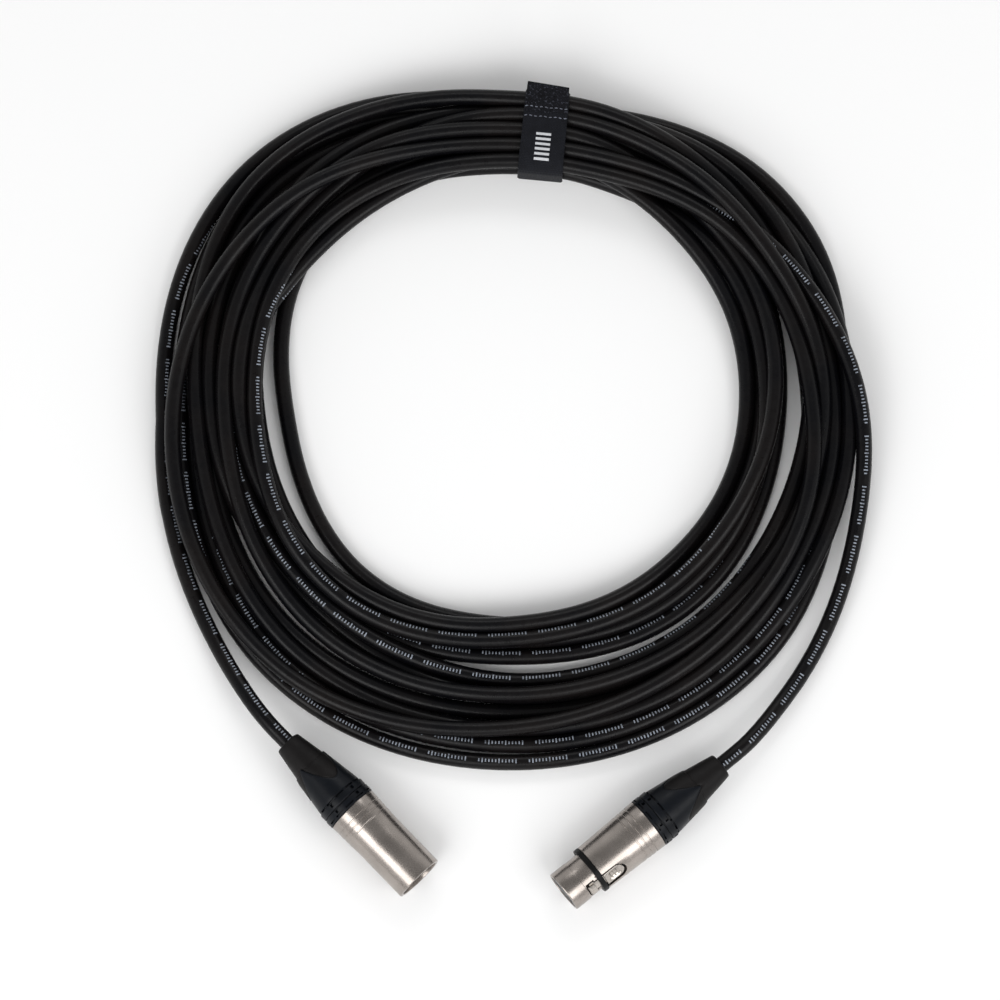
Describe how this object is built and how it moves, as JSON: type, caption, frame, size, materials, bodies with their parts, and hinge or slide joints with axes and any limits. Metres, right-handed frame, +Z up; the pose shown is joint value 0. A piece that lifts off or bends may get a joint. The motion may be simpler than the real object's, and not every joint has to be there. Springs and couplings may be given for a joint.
{
  "type": "xlr microphone cable coil",
  "caption": "Coiled microphone cable with a male and a female three-pin plug, held by a hook-and-loop tie; bushings unscrew, the latch presses and the tie peels.",
  "frame": {"origin": "middle of the whole object's footprint, on the surface that it lies on", "axes": "+Z up, out of the coil's plane; +Y from the plugs towards the tie; +X to the right, where the female plug's tail leaves the coil"},
  "size_m": [0.2672, 0.309, 0.0203],
  "materials": {
    "jacket": "satin black PVC jacket with a small pale length marking",
    "strap_weave": "black woven nylon",
    "hook_tape": "black hook tape",
    "thread": "grey sewing thread",
    "nickel": "satin nickel plate on die-cast zinc",
    "latch_nickel": "satin nickel plate on stamped steel",
    "insert_plastic": "moulded black nylon",
    "contact_silver": "silver plate on brass",
    "contact_gold": "plated brass",
    "chuck_plastic": "moulded natural acetal",
    "hard_plastic": "satin moulded black nylon",
    "boot_soft": "matt moulded elastomer",
    "seal_rubber": "satin black rubber",
    "spring_steel": "bright spring steel",
    "lead_screen": "twisted copper braid",
    "lead_white": "white polyethylene insulation",
    "lead_blue": "blue polyethylene insulation"
  },
  "bodies": {
    "cable": {"cable_coil": "jacket", "male_tail_cable": "jacket", "female_tail_cable": "jacket", "male_cable_end": "jacket", "female_cable_end": "jacket", "tie_strap": "strap_weave", "male_shell": "nickel", "male_insert": "insert_plastic", "male_chuck": "chuck_plastic", "male_lead_1": "lead_screen", "male_lead_2": "lead_white", "male_lead_3": "lead_blue", "female_shell": "nickel", "female_insert": "insert_plastic", "female_chuck": "chuck_plastic", "female_lead_1": "lead_screen", "female_lead_2": "lead_white", "female_lead_3": "lead_blue", "male_pin_1": "contact_silver", "female_socket_1": "contact_gold", "male_pin_2": "contact_silver", "female_socket_2": "contact_gold", "male_pin_3": "contact_silver", "female_socket_3": "contact_gold", "female_ground_contact": "spring_steel", "female_seal_ring": "seal_rubber"},
    "tie_flap": {"tie_flap": "strap_weave", "tie_hook_tab": "hook_tape", "tie_stitching": "thread"},
    "male_coding_ring": {"male_coding_ring": "hard_plastic"},
    "male_bushing": {"male_bushing": "hard_plastic", "male_boot": "boot_soft"},
    "female_coding_ring": {"female_coding_ring": "hard_plastic"},
    "female_bushing": {"female_bushing": "hard_plastic", "female_boot": "boot_soft"},
    "female_latch": {"female_latch": "latch_nickel", "female_latch_spring": "spring_steel"}
  },
  "joints": [
    {"name": "tie_peel", "type": "hinge", "parent": "cable", "child": "tie_flap", "pos_m": [0.01005, 0.12706, 0.01955], "axis": [0.9952, -0.0976, 0], "range_deg": [0, 120]},
    {"name": "male_bushing_back", "type": "slide", "parent": "cable", "child": "male_coding_ring", "axis": [-0.6947, 0.7193, 0], "range_m": [0, 0.0045]},
    {"name": "male_bushing_turn", "type": "hinge", "parent": "male_coding_ring", "child": "male_bushing", "pos_m": [-0.07001, -0.10849, 0.0102], "axis": [-0.6947, 0.7193, 0], "range_deg": [0, 1080]},
    {"name": "female_bushing_back", "type": "slide", "parent": "cable", "child": "female_coding_ring", "axis": [0.7771, 0.6293, 0], "range_m": [0, 0.0045]},
    {"name": "female_bushing_turn", "type": "hinge", "parent": "female_coding_ring", "child": "female_bushing", "pos_m": [0.06026, -0.11509, 0.0102], "axis": [0.7771, 0.6293, 0], "range_deg": [0, 1080]},
    {"name": "female_latch_press", "type": "hinge", "parent": "cable", "child": "female_latch", "pos_m": [0.0388, -0.14007, 0.01482], "axis": [0.3874, -0.4785, -0.788], "range_deg": [0, 4], "stiffness_Nm_per_rad": 0.2, "springref_deg": -2.86}
  ],
  "couplings": [
    {"joint": "male_bushing_turn", "follows": "male_bushing_back", "rad_per_m": 4188.8},
    {"joint": "female_bushing_turn", "follows": "female_bushing_back", "rad_per_m": 4188.8}
  ]
}
